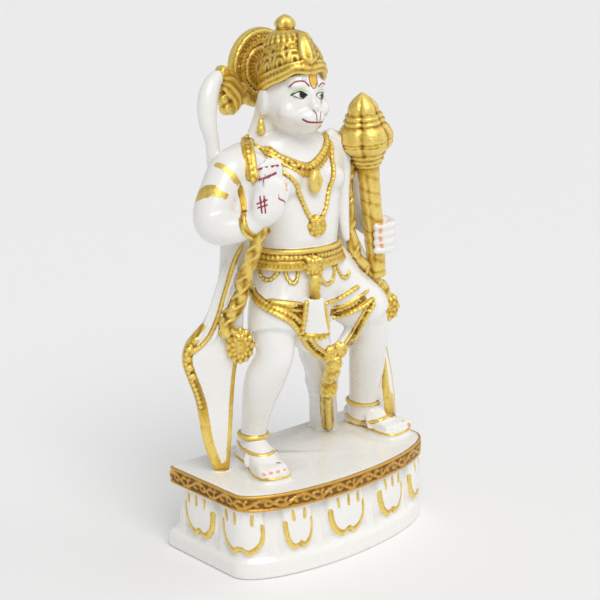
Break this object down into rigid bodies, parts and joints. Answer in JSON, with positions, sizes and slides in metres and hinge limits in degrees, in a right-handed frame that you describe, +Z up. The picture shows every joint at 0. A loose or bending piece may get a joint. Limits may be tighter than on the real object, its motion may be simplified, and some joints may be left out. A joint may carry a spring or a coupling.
{
  "type": "hanuman figure",
  "caption": "Standing monkey-headed guardian with a raised palm, a mace, crown, halo and looped tail, cast in one piece with its lotus plinth, which rests on a flat underside.",
  "frame": {"origin": "centre of the plinth's flat underside", "axes": "+Z up along the figure's height, -Y the way the plinth's bowed front faces, +X to the figure's own left, where the mace is"},
  "size_m": [0.131, 0.072, 0.256],
  "materials": {
    "painted_resin": "glossy warm white paint with bright gold, over cast marble dust and resin"
  },
  "bodies": {
    "root": {"hanuman_figure": "painted_resin"}
  },
  "joints": []
}
